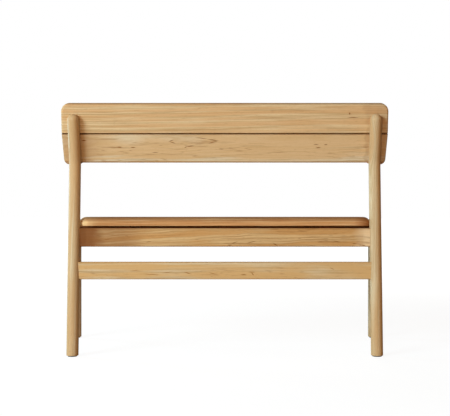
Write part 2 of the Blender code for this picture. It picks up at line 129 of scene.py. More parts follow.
# A weighted bevel round the two faces of a plate: each array holds a width for each side of
# the outline, and an edge's weight is its width over the widest
def roundRims(item, lowWidths, highWidths=None, segments=6):
    mesh = item.data
    count = len(mesh.vertices) // 2
    pairs = np.zeros(len(mesh.edges) * 2, np.int32)
    mesh.edges.foreach_get("vertices", pairs)
    pairs = pairs.reshape(-1, 2)
    onLow = (pairs < count).all(1)
    onHigh = (pairs >= count).all(1)
    low = pairs.min(1) % count
    high = pairs.max(1) % count
    first = np.where(high - low > 1, high, low)  # the closing edge runs from the last point
    highWidths = lowWidths if highWidths is None else highWidths
    width = np.where(onLow, lowWidths[first], np.where(onHigh, highWidths[first], 0.0))
    weight = width / width.max()
    layer = mesh.attributes.new("bevel_weight_edge", "FLOAT", "EDGE")
    layer.data.foreach_set("value", weight.astype(np.float32))
    bevel = item.modifiers.new("round", "BEVEL")
    bevel.limit_method = "WEIGHT"
    bevel.width = width.max()
    bevel.segments = segments
    bevel.use_clamp_overlap = False


def cutWith(item, tool):
    step = item.modifiers.new("cut", "BOOLEAN")
    step.operation = "DIFFERENCE"
    step.solver = "EXACT"
    step.object = tool


# Bakes the modifiers, smooths all but the sharp edges and keeps flat faces flat
def settle(item, sharpAngle=38):
    graph = bpy.context.evaluated_depsgraph_get()
    mesh = bpy.data.meshes.new_from_object(item.evaluated_get(graph))
    item.modifiers.clear()
    old = item.data
    item.data = mesh
    bpy.data.meshes.remove(old)
    mesh.shade_smooth()
    mesh.set_sharp_from_angle(angle=math.radians(sharpAngle))
    flatten = item.modifiers.new("flat faces", "WEIGHTED_NORMAL")
    flatten.keep_sharp = True
    return item


# Legs: rings square to a centre line, closed by a half-round dome, the foot cut level

leg = {
    "radius": 0.020, "backSpread": 0.506, "frontSpread": 0.5655, "footY": 0.224,
    "rake": math.radians(4.8), "lean": math.radians(14.5), "kneeHeight": 0.646,
    "bendRadius": 0.120, "domeDistance": 0.1453, "footHeight": 0.0033, "footRounding": 0.0013,
    "lineFoot": 0.025, "sides": 96, "footRings": 7, "shankRings": 16, "bendRings": 24,
    "topRings": 9, "domeRings": 24, "frontRings": 20,
}


# The axis of a back leg's shank: y = footY - height tan(rake)
def backLegY(height):
    return leg["footY"] - math.tan(leg["rake"]) * height


shankWay = np.array([0.0, -math.sin(leg["rake"]), math.cos(leg["rake"])])
upAlongRest = np.array([0.0, math.sin(leg["lean"]), math.cos(leg["lean"])])
outOfRest = np.array([0.0, -math.cos(leg["lean"]), math.sin(leg["lean"])])
knee = np.array([0.0, backLegY(leg["kneeHeight"]), leg["kneeHeight"]])


# Points at even steps: first + (last - first) share
def straight(first, last, count):
    return first + (last - first) * np.linspace(0, 1, count)[:, None]


# Ring i: centre + radius (cos turn along the bench + sin turn square to it and to the
# direction). The lowest rings slide along the direction to heights of their own
def rodRings(centres, directions, radii, heights):
    turn = np.arange(leg["sides"]) * (2 * math.pi / leg["sides"])
    front = np.cross(directions, alongBench)
    ring = np.cos(turn)[None, :, None] * alongBench + np.sin(turn)[None, :, None] * front[:, None]
    points = centres[:, None] + radii[:, None, None] * ring
    for i, height in enumerate(heights):
        slide = (height - points[i, :, 2]) / directions[i, 2]
        points[i] += slide[:, None] * directions[i]
    return points


# A rod with a half-round dome: the dome's ring at angle a lies radius sin a past the last
# centre, and its own radius is radius cos a
def domedRod(name, centres, directions, radii, heights=()):
    angle = np.radians(np.linspace(0, 90, leg["domeRings"] + 1)[1:-1])
    tip, way, radius = centres[-1], directions[-1], radii[-1]
    centres = np.vstack([centres, tip + np.sin(angle)[:, None] * radius * way])
    directions = np.vstack([directions, np.repeat(way[None], len(angle), 0)])
    radii = np.concatenate([radii, np.cos(angle) * radius])
    return skin(name, rodRings(centres, directions, radii, heights), tip + way * radius)


# A leg round its line, wider by a clearance. The foot's edge is a quarter circle: at angle a
# the radius is rounding (1 - sin a) less and the height rounding (1 - cos a) more
def makeLeg(name, centres, directions, clearance):
    radius = leg["radius"] + clearance
    rounding = leg["footRounding"]
    angle = np.radians(np.linspace(0, 90, leg["footRings"]))
    heights = leg["footHeight"] + rounding * (1 - np.cos(angle))
    footRadii = radius - rounding * (1 - np.sin(angle))
    radii = np.concatenate([footRadii, np.full(len(centres), radius)])
    order = np.concatenate([np.zeros(len(angle), int), np.arange(len(centres))])
    return domedRod(name, centres[order], directions[order], radii, heights)


# The line of a back leg: a raked shank, an arc that touches the shank and the back rest
# bendRadius tan(half bend) from the knee, and a leaning top
def backLegLine(x):
    rake, radius = leg["rake"], leg["bendRadius"]
    bend = rake + leg["lean"]
    corner = knee + alongBench * x
    foot = np.array([x, leg["footY"], 0.0])
    start = corner - shankWay * (radius * math.tan(bend / 2))
    centre = start + np.array([0.0, math.cos(rake), math.sin(rake)]) * radius
    turn = np.linspace(0, bend, leg["bendRings"] + 1) - rake
    arc = centre + radius * np.stack([0 * turn, -np.cos(turn), np.sin(turn)], -1)
    arcWay = np.stack([0 * turn, np.sin(turn), np.cos(turn)], -1)
    shank = straight(foot + shankWay * leg["lineFoot"], start, leg["shankRings"])[:-1]
    top = straight(arc[-1], corner + upAlongRest * leg["domeDistance"], leg["topRings"])[1:]
    ways = [np.repeat(shankWay[None], len(shank), 0), arcWay, np.repeat(upAlongRest[None], len(top), 0)]
    return np.vstack([shank, arc, top]), np.vstack(ways)


# The line of a front leg: upright, its dome level with the seat
def frontLegLine(x):
    foot = np.array([x, -leg["footY"], leg["lineFoot"]])
    top = np.array([x, -leg["footY"], seat["top"] - leg["radius"]])
    line = straight(foot, top, leg["frontRings"])
    return line, np.repeat(upright[None], len(line), 0)


# All legs, and with each a cutter that is wider by the fit
def makeLegs():
    pieces, cutters = {}, {}
    for end, side in ends.items():
        backLine = backLegLine(side * leg["backSpread"])
        frontLine = frontLegLine(side * leg["frontSpread"])
        for row, line in (("back", backLine), ("front", frontLine)):
            node = f"{row}_leg_{end}"
            pieces[node] = makeLeg(f"{node}_turned", *line, 0.0)
            cutters[node] = makeLeg(f"cutter_{node}", *line, fitGap)
            cutters[node].hide_render = True
    return pieces, cutters


# Seat: a slab whose top edge is a flattened quarter round

seat = {
    "top": 0.459, "thickness": 0.027, "topRounding": 0.0235, "topDrop": 0.016,
    "bottomRounding": 0.0025, "overhang": 0.015, "endInset": 0.0165, "cornerRadius": 0.056,
    "cornerSteps": 32, "edgeSegments": 14,
}
seatBottom = seat["top"] - seat["thickness"]
seatAxes = (alongBench, alongDepth, upright)


# Half the seat's length at depth y: the line from back leg to front leg, moved in by the inset
def seatEnd(y):
    backY = backLegY(seatBottom)
    run = np.array([leg["frontSpread"] - leg["backSpread"], -leg["footY"] - backY])
    inward = np.array([run[1], -run[0]]) / np.linalg.norm(run) * seat["endInset"]
    startX, startY = np.array([leg["backSpread"], backY]) + inward
    return startX + (y - startY) * (run[0] / run[1])


# A plate that is thicker by topRounding / topDrop gets round rims, and its height is then
# squashed by topDrop / topRounding, which turns the quarter circle into an ellipse
def makeSeat():
    back = backLegY(seatBottom) + seat["overhang"]
    front = -leg["footY"] - seat["overhang"]
    backX, frontX = seatEnd(back), seatEnd(front)
    corners = [(frontX, front), (backX, back), (-backX, back), (-frontX, front)]
    outline = roundedPolygon(corners, [seat["cornerRadius"]] * 4, seat["cornerSteps"])
    squash = seat["topDrop"] / seat["topRounding"]
    item = plate("seat_slab", outline, seat["thickness"] / squash, np.zeros(3), seatAxes)
    around = np.ones(len(outline))
    roundRims(
        item, seat["bottomRounding"] * around, seat["topRounding"] * around, seat["edgeSegments"],
    )
    settle(item)
    points = np.zeros(len(item.data.vertices) * 3)
    item.data.vertices.foreach_get("co", points)
    points = points.reshape(-1, 3)
    points[:, 2] = points[:, 2] * squash + seat["top"] - seat["thickness"] / 2
    item.data.vertices.foreach_set("co", points.ravel())
    item.data.update()
    return item


legs, legCutters = makeLegs()
print("legs made")
seatSlab = makeSeat()
print("seat made")


# Rails and the rear stretcher: planed bars, cut to the round of the legs

rail = {
    "thickness": 0.018, "height": 0.063, "belowSeat": 0.0067, "faceOffset": 0.002,
    "flare": 0.0055, "flareLength": 0.022, "flarePower": 1.25, "flareSteps": 24,
    "rounding": 0.0025,
}
stretcher = {
    "thickness": 0.020, "height": 0.0584, "bottom": 0.254, "rounding": 0.003, "faceOffset": 0.0100,
}
barSteps = 9
railMiddle = seatBottom - rail["belowSeat"] - rail["height"] / 2
stretcherMiddle = stretcher["bottom"] + stretcher["height"] / 2


# A rail from above: over the last stretch before the leg its outer face moves out by
# flare x share ^ flarePower, where share runs from 0 to 1
def crossRailOutline(halfSpread):
    start = halfSpread - leg["radius"] - rail["flareLength"]
    share = np.linspace(1, 0, rail["flareSteps"] + 1)
    rise = rail["flare"] * share ** rail["flarePower"]
    flare = np.stack([start + share * rail["flareLength"], rail["faceOffset"] + rise], -1)
    innerY = rail["faceOffset"] - rail["thickness"]
    outerY = rail["faceOffset"] + rail["flare"]
    right = np.vstack([[[halfSpread, innerY], [halfSpread, outerY]], flare])
    return np.vstack([right, right[::-1] * (-1, 1)])


# A straight bar from above, its two long sides in even steps
def barOutline(halfLength, innerY, outerY):
    steps = np.linspace(-halfLength, halfLength, barSteps)
    inner = np.stack([steps, np.full(barSteps, innerY)], -1)
    outer = np.stack([steps[::-1], np.full(barSteps, outerY)], -1)
    return np.vstack([inner, outer])


# A plate of that outline, its height upward, its edges round, its ends cut by two legs
def makeBar(name, outline, sizes, origin, axes, legNodes):
    item = plate(name, outline, sizes["height"], origin, axes)
    roundRims(item, np.full(len(outline), sizes["rounding"]))
    for node in legNodes:
        cutWith(item, legCutters[node])
    return settle(item)


# The rear and front rails run from axis to axis of their legs
def makeCrossRail(name, row, y, facing):
    outline = crossRailOutline(leg[f"{row}Spread"])
    origin = np.array([0.0, y, railMiddle])
    axes = (alongBench, alongDepth * facing, upright)
    return makeBar(name, outline, rail, origin, axes, [f"{row}_leg_left", f"{row}_leg_right"])


# A side rail runs from a back leg's axis to a front leg's axis
def makeSideRail(end, side):
    back = np.array([side * leg["backSpread"], backLegY(railMiddle), railMiddle])
    front = np.array([side * leg["frontSpread"], -leg["footY"], railMiddle])
    length = np.linalg.norm(front - back)
    run = (front - back) / length
    outline = barOutline(length / 2, -rail["thickness"] / 2, rail["thickness"] / 2)
    axes = (run, np.cross(upright, run), upright)
    legNodes = [f"back_leg_{end}", f"front_leg_{end}"]
    return makeBar(f"side_rail_planed_{end}", outline, rail, (back + front) / 2, axes, legNodes)


# The stretcher runs from axis to axis of the back legs and lies on their shanks at its mid height
def makeStretcher():
    outerY = stretcher["faceOffset"]
    outline = barOutline(leg["backSpread"], outerY - stretcher["thickness"], outerY)
    origin = np.array([0.0, backLegY(stretcherMiddle), stretcherMiddle])
    legNodes = ["back_leg_left", "back_leg_right"]
    return makeBar("stretcher_planed", outline, stretcher, origin, seatAxes, legNodes)


rearRail = makeCrossRail("rear_rail_planed", "back", backLegY(railMiddle), 1.0)
frontRail = makeCrossRail("front_rail_planed", "front", -leg["footY"], -1.0)
sideRails = {end: makeSideRail(end, side) for end, side in ends.items()}
stretcherBar = makeStretcher()
print("rails made")


# Back boards: outlines along the lean of the back rest, let in to the legs

board = {
    "thickness": 0.024, "upperHeight": 0.1009, "lowerHeight": 0.0950, "gap": 0.0022,
    "halfLength": 0.550, "topNarrowing": 0.0020, "bottomNarrowing": 0.0055,
    "topCorner": 0.027, "bottomCorner": 0.019, "longRounding": 0.0025, "endRounding": 0.0070,
    "housingDepth": 0.010, "housingRun": 0.06, "housingRings": 8, "lugDrop": 0.0095,
    "bottomDrop": 0.0028, "lugReach": 0.024, "lugStep": 0.010, "lugStepRadius": 0.006,
    "cornerSteps": 16,
}
upperFoot = board["lowerHeight"] + board["gap"]
boardAxes = (alongBench, upAlongRest, outOfRest)


# The upper board narrows by topNarrowing at each end toward its round top corners
def upperOutline():
    half, height = board["halfLength"], board["upperHeight"]
    topX = half - board["topNarrowing"]
    corners = [(-half, 0), (half, 0), (topX, height), (-topX, height)]
    return roundedPolygon(corners, [0, 0, board["topCorner"], board["topCorner"]], board["cornerSteps"])


# The lower board narrows downward, and its ends come down as lugs with a round step
def lowerOutline():
    half, height = board["halfLength"], board["lowerHeight"]
    bottomX = half - board["bottomNarrowing"]
    lugX = leg["backSpread"] - board["lugReach"]
    stepX = lugX + board["lugStep"]
    drop, bottom = -board["lugDrop"], -board["bottomDrop"]
    corners = [
        (-bottomX, drop), (-stepX, drop), (-lugX, bottom), (lugX, bottom),
        (stepX, drop), (bottomX, drop), (half, height), (-half, height),
    ]
    radii = [board["bottomCorner"], *[board["lugStepRadius"]] * 4, board["bottomCorner"], 0, 0]
    return roundedPolygon(corners, radii, board["cornerSteps"])


# How round each side of an outline is: longRounding along the board, growing in a straight
# line to endRounding over the corners
def boardWidths(outline):
    middle = (outline + np.roll(outline, -1, 0)) / 2
    start = board["halfLength"] - board["topCorner"]
    share = (np.abs(middle[:, 0]) - start) / (board["topCorner"] - board["endRounding"])
    share = np.clip(share, 0, 1)
    return board["longRounding"] + (board["endRounding"] - board["longRounding"]) * share


# The straight housing that a leg lies in, which the leg's bend leaves at its foot
def makeHousing(end, side):
    bottom = knee + alongBench * (side * leg["backSpread"]) - upAlongRest * board["housingRun"]
    count = board["housingRings"]
    steps = np.linspace(0, board["housingRun"] + leg["domeDistance"], count)[:, None]
    directions = np.repeat(upAlongRest[None], count, 0)
    radii = np.full(count, leg["radius"] + fitGap)
    item = domedRod(f"cutter_housing_{end}", bottom + upAlongRest * steps, directions, radii)
    item.hide_render = True
    return item


# A board lies housingDepth deep in the legs: its middle is radius + fit - housingDepth + half its
# thickness out from their axis, and its foot is foot above the knee along the lean
def makeBoard(name, outline, foot):
    outDistance = leg["radius"] + fitGap - board["housingDepth"] + board["thickness"] / 2
    origin = knee + upAlongRest * foot + outOfRest * outDistance
    item = plate(name, outline, board["thickness"], origin, boardAxes)
    roundRims(item, boardWidths(outline))
    for housing in housings:
        cutWith(item, housing)
    return settle(item)


housings = [makeHousing(end, side) for end, side in ends.items()]
upperBoard = makeBoard("upper_board_planed", upperOutline(), upperFoot)
lowerBoard = makeBoard("lower_board_planed", lowerOutline(), 0.0)
for cutter in [*legCutters.values(), *housings]:
    bpy.data.objects.remove(cutter)
print("boards made")


# Shader building: a socket that takes part in sums, and one method for every other node

class Sock:
    def __init__(self, maker, socket):
        self.maker = maker
        self.socket = socket

    def withMath(self, operation, a, b=None):
        return self.maker.add("ShaderNodeMath", {"operation": operation}, {0: a, 1: b})

    def __add__(self, other):
        return self.withMath("ADD", self, other)

    def __radd__(self, other):
        return self.withMath("ADD", other, self)

    def __sub__(self, other):
        return self.withMath("SUBTRACT", self, other)

    def __rsub__(self, other):
        return self.withMath("SUBTRACT", other, self)

    def __mul__(self, other):
        return self.withMath("MULTIPLY", self, other)

    def __rmul__(self, other):
        return self.withMath("MULTIPLY", other, self)

    def __truediv__(self, other):
        return self.withMath("DIVIDE", self, other)

    def __rtruediv__(self, other):
        return self.withMath("DIVIDE", other, self)

    def __pow__(self, other):
        return self.withMath("POWER", self, other)

    def __rpow__(self, other):
        return self.withMath("POWER", other, self)

    def __abs__(self):
        return self.withMath("ABSOLUTE", self)

    # 0 up to low, 1 from high, a smooth step between them; turned round where low is the greater
    def between(self, low, high):
        settings = {"interpolation_type": "SMOOTHSTEP"}
        return self.maker.add("ShaderNodeMapRange", settings, {0: self, 1: low, 2: high})


class Maker:
    def __init__(self, owner):
        owner.use_nodes = True
        self.owner = owner
        self.tree = owner.node_tree
        self.tree.nodes.clear()

    def add(self, kind, settings=None, values=None, out=0):
        node = self.tree.nodes.new(kind)
        for key, value in (settings or {}).items():
            setattr(node, key, value)
        for key, value in (values or {}).items():
            if isinstance(value, Sock):
                self.tree.links.new(value.socket, node.inputs[key])
            elif value is not None:
                node.inputs[key].default_value = value
        return Sock(self, node.outputs[out]) if len(node.outputs) else None

    def dot(self, vector, axis):
        settings = {"operation": "DOT_PRODUCT"}
        return self.add("ShaderNodeVectorMath", settings, {0: vector, 1: tuple(axis)}, "Value")

    def length(self, vector):
        return self.add("ShaderNodeVectorMath", {"operation": "LENGTH"}, {0: vector}, "Value")

    def vector(self, x, y, z=0.0):
        return self.add("ShaderNodeCombineXYZ", None, {0: x, 1: y, 2: z})

    def noise(self, vector, scale, shift, detail):
        values = {"Vector": vector, "Location": (shift, shift, shift), "Scale": scale}
        values = {"Vector": self.add("ShaderNodeMapping", None, values), "Scale": 1.0}
        return self.add("ShaderNodeTexNoise", None, {**values, "Detail": detail, "Roughness": 0.5})

    # the Mix node's colour sockets have the numbers 6, 7 and 2
    def mix(self, share, a, b):
        a, b = ((*colour, 1.0) if isinstance(colour, tuple) else colour for colour in (a, b))
        return self.add("ShaderNodeMix", {"data_type": "RGBA"}, {0: share, 6: a, 7: b}, 2)

    # 1 for rays that see the backdrop, straight or in metal or glass, and 0 for light
    def seen(self):
        camera = self.add("ShaderNodeLightPath", out="Is Camera Ray")
        glossy = self.add("ShaderNodeLightPath", out="Is Glossy Ray")
        through = self.add("ShaderNodeLightPath", out="Is Transmission Ray")
        return camera.withMath("MAXIMUM", camera.withMath("MAXIMUM", camera, glossy), through)

    def surface(self, values):
        shader = self.add("ShaderNodeBsdfPrincipled", None, values)
        self.add("ShaderNodeOutputMaterial", None, {0: shader})
        return self.owner


# The noises in the wood: scale along the grain, across it and in depth, then the shift that
# is added to the piece's seed, then the detail
grain = {
    "drift": ((1.5, 7.0, 7.0), 0.0, 2.0), "ripple": ((14.0, 30.0, 30.0), 3.0, 1.0),
    "bands": ((0.7, 62.0, 1.0), 5.0, 2.0), "lines": ((3.6, 300.0, 1.0), 9.0, 2.0),
    "threads": ((11.0, 750.0, 1.0), 13.0, 2.0), "stripe": ((0.6, 85.0, 1.0), 21.0, 1.0),
    "cloud": ((5.0, 16.0, 16.0), 23.0, 1.0), "pores": ((60.0, 1000.0, 1000.0), 27.0, 1.0),
    "wobble": ((35.0, 80.0, 1.0), 33.0, 1.0), "wisp": ((5.0, 90.0, 1.0), 41.0, 2.0),
    "where": ((3.0, 22.0, 1.0), 43.0, 1.0),
}
oak = {
    "bandLimits": (0.36, 0.64), "lineLimits": (0.36, 0.66), "poreLimits": (0.60, 0.72),
    "hueLimits": (0.42, 0.58), "shadeLimits": (-0.05, 1.05), "whereLimits": (0.42, 0.58),
    "wispLimits": (0.004, 0.028), "streakLimits": (0.25, 1.15), "streakWobble": 0.004,
    "stripeShare": 0.65, "cloudShare": 0.35, "poreShare": 0.28, "streakShare": 0.95,
    "depthBend": 0.6, "patchRipple": 0.05, "staveSlide": 1.73, "staveSink": 0.021,
    "arrisFrom": 0.0042, "arrisTo": 0.0012, "arrisShade": 0.60, "upperArrisShadeLess": 0.20,
    "arrisMiddle": 0.01, "arrisRough": 0.45, "rough": 0.44, "threadRough": 0.16,
    "poreRough": 0.12, "shadeRough": 0.05, "threadRelief": 0.6, "poreRelief": 0.8,
    "lineRelief": 0.25, "bumpStrength": 0.3, "bumpDistance": 0.0003,
}


# Solid oak in the piece's own axes, measured from the point middle: u along the grain, v across
# the face, w out of it. The year rings lie round a pith line off to one side: a ring's number is
# the distance from that line, bent by slow and quick noise, and bands, lines and threads follow
# it. wood holds the colours and the figure, and where they are wanted staves, streaks and
# patches of painted light and shade. halfWidth paints shade along the two long edges, the upper one
# less
def timber(name, axes, middle, wood, halfWidth=None):
    maker = Maker(bpy.data.materials.new(name))
    seed = wood["seed"]

    def layer(kind, vector):
        scale, shift, detail = grain[kind]
        return maker.noise(vector, scale, seed + shift, detail)

    point = maker.add("ShaderNodeTexCoord", out="Object")
    u, v, w = (maker.dot(point, axis) - float(np.dot(middle, axis)) for axis in axes)
    whole = {"u": u, "v": v, "w": w}
    if "stave" in wood:
        count = v / wood["stave"]
        number = count.withMath("FLOOR", count)
        v = v - (number + 0.5) * wood["stave"]
        u = u + number * oak["staveSlide"]
        w = w + number * oak["staveSink"]
    solid = maker.vector(u, v, w)
    ripple = layer("ripple", solid) - 0.5
    bend = (layer("drift", solid) - 0.5) * wood["drift"] + ripple * wood["ripple"]
    height = v - wood["pith"][0] + u * wood["tilt"][0] + bend
    depth = w - wood["pith"][1] + u * wood["tilt"][1] + bend * oak["depthBend"]
    rings = maker.vector(u, (height * height + depth * depth) ** 0.5)
    bands = layer("bands", rings).between(*oak["bandLimits"])
    lines = layer("lines", rings).between(*oak["lineLimits"])
    threads = layer("threads", rings)
    hue = layer("stripe", rings) * oak["stripeShare"] + layer("cloud", solid) * oak["cloudShare"]
    pores = layer("pores", solid).between(*oak["poreLimits"])
    bandShare, lineShare, threadShare = wood["shares"]
    shade = bands * bandShare + lines * lineShare + (threads - 0.5) * threadShare
    shade = shade.between(*oak["shadeLimits"])
    colour = maker.mix(shade, wood["pale"], wood["deep"])
    colour = maker.mix(hue.between(*oak["hueLimits"]) * wood["rosiness"], colour, wood["rosy"])
    colour = maker.mix(pores * oak["poreShare"], colour, wood["markAndEdgeShade"])
    # painted light and shade: each patch lays a painted shadow or painted light into the base colour
    for axisName, low, high, strength, patchColour in wood.get("paintedPatches", ()):
        across = whole[axisName] + ripple * oak["patchRipple"] * (axisName == "u")
        colour = maker.mix(across.between(low, high) * strength, colour, patchColour)
    rough = oak["rough"] + (threads - 0.5) * oak["threadRough"]
    rough = rough + pores * oak["poreRough"] + shade * oak["shadeRough"]
    # painted shade along the two long rounded edges, less on the upper one, which faces the light;
    # these edges are also rougher
    if halfWidth:
        edges = (halfWidth - oak["arrisFrom"], halfWidth - oak["arrisTo"])
        nearEdge = abs(whole["v"]).between(*edges)
        upper = whole["v"].between(-oak["arrisMiddle"], oak["arrisMiddle"])
        share = nearEdge * (oak["arrisShade"] - upper * oak["upperArrisShadeLess"])
        colour = maker.mix(share, colour, wood["markAndEdgeShade"])
        rough = rough + nearEdge * oak["arrisRough"]
    if "streaks" in wood:
        flat = maker.vector(u, v)
        wisps = (1.0 - abs(layer("wisp", flat) - 0.5).between(*oak["wispLimits"]))
        wisps = wisps * layer("where", flat).between(*oak["whereLimits"])
        colour = maker.mix(wisps * wood["wisps"], colour, wood["markAndEdgeShade"])
        wobble = (layer("wobble", flat) - 0.5) * oak["streakWobble"]
        streaks = slantedOvals(maker, maker.vector(u, v + wobble), wood["streaks"])
        colour = maker.mix(streaks * oak["streakShare"], colour, wood["streak"])
    relief = threads * oak["threadRelief"] - pores * oak["poreRelief"] - lines * oak["lineRelief"]
    values = {"Strength": oak["bumpStrength"], "Distance": oak["bumpDistance"], "Height": relief}
    return maker.surface({
        "Base Color": colour, "Roughness": rough, "Specular IOR Level": wood["gloss"],
        "Normal": maker.add("ShaderNodeBump", None, values),
    })


# 1 along the middle of each slanted oval and 0 outside: the distance from the nearest one,
# counted in its own half length and half height
def slantedOvals(maker, flat, streaks):
    nearest = None
    for middleU, middleV, halfLength, halfHeight, rise in streaks:
        values = {
            "Vector": flat, "Location": (middleU, middleV, 0.0),
            "Rotation": (0.0, 0.0, math.atan(rise)), "Scale": (halfLength, halfHeight, 1.0),
        }
        distance = maker.length(maker.add("ShaderNodeMapping", {"vector_type": "TEXTURE"}, values))
        nearest = distance if nearest is None else nearest.withMath("MINIMUM", nearest, distance)
    return 1.0 - nearest.between(*oak["streakLimits"])


def dress(item, material):
    item.data.materials.clear()
    item.data.materials.append(material)


# A new piece gets its wood and stands in for the frame's own node
def present(item, material, slotName, *nodes):
    dress(item, material)
    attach(item, "root")
    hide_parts(*nodes)


# Woods, one dictionary each. Colours are linear. The pith's place and tilt are across the face
# and out of it; shares are those of bands, lines and threads. A streak has its middle's u and
# v, half length, half height and rise. A painted patch is painted light or shade: it fades in
# along an axis from one value to another, up to a strength, to a colour

# Painted light and shade: the brown, red, orange, inner and gap tones are painted shade and shadow, and
# the flare and end tones are painted light
shadeBrown = (0.230, 0.085, 0.028)
shadeRed = (0.360, 0.100, 0.030)
shadeOrange = (0.550, 0.290, 0.100)
innerShade = (0.110, 0.022, 0.007)
gapShadow = (0.035, 0.007, 0.002)
flareLight = (0.900, 0.720, 0.480)
endLight = (0.860, 0.600, 0.300)
halfUpper, halfLower = board["upperHeight"] / 2, board["lowerHeight"] / 2
halfRail, halfStretcher = rail["height"] / 2, stretcher["height"] / 2
edgeShadow = {"from": 0.0010, "to": 0.0002, "strength": 0.75}


# Painted shade: a dark line along the upper edge of a rail or of the lower board, for the shaded gap
# above it
def gapShadePatch(half):
    low, high = half - edgeShadow["from"], half - edgeShadow["to"]
    return ("v", low, high, edgeShadow["strength"], gapShadow)


upperWood = {
    "pale": (0.745, 0.560, 0.325), "deep": (0.500, 0.300, 0.130), "rosy": (0.680, 0.395, 0.180),
    "markAndEdgeShade": (0.300, 0.140, 0.048), "streak": (0.240, 0.085, 0.025), "gloss": 0.0,
    "seed": 3.1, "pith": (0.36, 0.05), "tilt": (0.012, 0.02), "drift": 0.020, "ripple": 0.0015,
    "shares": (0.22, 0.60, 0.95), "rosiness": 0.60, "wisps": 0.12,
    "streaks": [(-0.418, 0.017, 0.0030, 0.0040, 0.0), (-0.430, 0.0040, 0.022, 0.0018, -0.03)],
    # painted shade on the board beside the right leg
    "paintedPatches": [("u", -0.466, -0.478, 0.20, shadeBrown)],
}
lowerWood = {
    "pale": (0.725, 0.600, 0.410), "deep": (0.500, 0.345, 0.180), "rosy": (0.680, 0.440, 0.215),
    "markAndEdgeShade": (0.330, 0.145, 0.045), "streak": (0.230, 0.080, 0.016), "gloss": 0.0,
    "seed": 7.7, "pith": (0.03, 0.06), "tilt": (0.02, 0.01), "drift": 0.030, "ripple": 0.0060,
    "shares": (0.12, 0.64, 1.45), "rosiness": 0.80, "wisps": 0.40,
    "streaks": [
        (0.475, 0.0260, 0.010, 0.0026, 0.0), (0.373, 0.0030, 0.031, 0.0013, 0.0),
        (0.356, 0.0030, 0.011, 0.0026, 0.0), (0.310, 0.0030, 0.010, 0.0022, 0.0),
        (0.181, 0.0248, 0.010, 0.0018, -0.40), (0.175, 0.0187, 0.011, 0.0016, 0.20),
        (0.079, 0.0340, 0.024, 0.0014, 0.09), (0.040, 0.0282, 0.021, 0.0021, 0.14),
        (0.039, 0.0201, 0.018, 0.0018, -0.28), (0.132, 0.0034, 0.006, 0.0016, -0.50),
        (0.115, 0.0071, 0.015, 0.0020, -0.07), (0.012, -0.0024, 0.010, 0.0013, 0.0),
        (0.236, -0.0156, 0.013, 0.0012, 0.0), (-0.308, 0.0122, 0.010, 0.0018, 0.0),
        (-0.316, 0.0010, 0.010, 0.0021, 0.0), (-0.341, 0.0122, 0.007, 0.0016, 0.0),
    ],
    # painted shadow of the left leg, painted shade beside the right leg, and painted shade in the gap
    # along the top edge
    "paintedPatches": [
        ("u", 0.370, 0.480, 0.30, shadeBrown), ("u", -0.466, -0.477, 0.25, shadeBrown),
        gapShadePatch(halfLower),
    ],
}
seatWood = {
    "pale": (0.830, 0.545, 0.270), "deep": (0.465, 0.226, 0.089), "rosy": (0.598, 0.290, 0.112),
    "markAndEdgeShade": (0.240, 0.095, 0.030), "gloss": 0.0,
    "seed": 27.3, "pith": (0.02, -0.16), "tilt": (0.01, 0.01), "drift": 0.030, "ripple": 0.0020,
    "shares": (0.42, 0.65, 1.1), "rosiness": 0.60, "stave": 0.1045,
    # painted shade toward the left leg, painted light on the left end where the leg shades it, painted
    # shade on the right end, which faces away from the light, and painted shade on the top
    "paintedPatches": [
        ("u", 0.150, 0.400, 0.17, shadeBrown), ("u", 0.415, 0.460, 0.28, endLight),
        ("u", 0.463, 0.481, 0.78, endLight), ("u", -0.430, -0.475, 0.37, shadeRed),
        ("w", -0.001, 0.008, 0.47, shadeBrown),
    ],
}
railWood = {
    "pale": (0.680, 0.460, 0.225), "deep": (0.420, 0.225, 0.085), "rosy": (0.560, 0.290, 0.100),
    "markAndEdgeShade": (0.220, 0.090, 0.028), "streak": (0.220, 0.085, 0.020), "gloss": 0.0,
    "seed": 11.3, "pith": (0.12, 0.10), "tilt": (0.02, 0.01), "drift": 0.028, "ripple": 0.0050,
    "shares": (0.22, 0.55, 1.0), "rosiness": 0.75, "wisps": 0.40,
}
rearRailWood = {
    **railWood,
    "streaks": [
        (-0.016, -0.0255, 0.010, 0.0020, 0.0), (-0.033, -0.0178, 0.014, 0.0013, -0.39),
        (-0.090, -0.0155, 0.019, 0.0014, -0.20), (-0.170, -0.0235, 0.010, 0.0020, 0.51),
        (-0.375, -0.0131, 0.014, 0.0015, 0.13), (-0.435, -0.0215, 0.009, 0.0016, 0.0),
        (-0.466, -0.0265, 0.007, 0.0018, 0.0), (0.255, -0.0148, 0.011, 0.0012, -0.17),
        (0.393, -0.0057, 0.016, 0.0012, -0.17),
    ],
    # painted shadow of the left leg with its soft edge, painted light on the right end's flare, painted
    # shadow of the seat along the top, and the painted gap shade
    "paintedPatches": [
        ("u", 0.240, 0.350, 0.47, shadeBrown), ("u", 0.402, 0.447, 0.88, shadeBrown),
        ("u", -0.425, -0.462, 0.40, flareLight),
        ("v", halfRail - 0.0120, halfRail, 0.30, shadeBrown), gapShadePatch(halfRail),
    ],
}
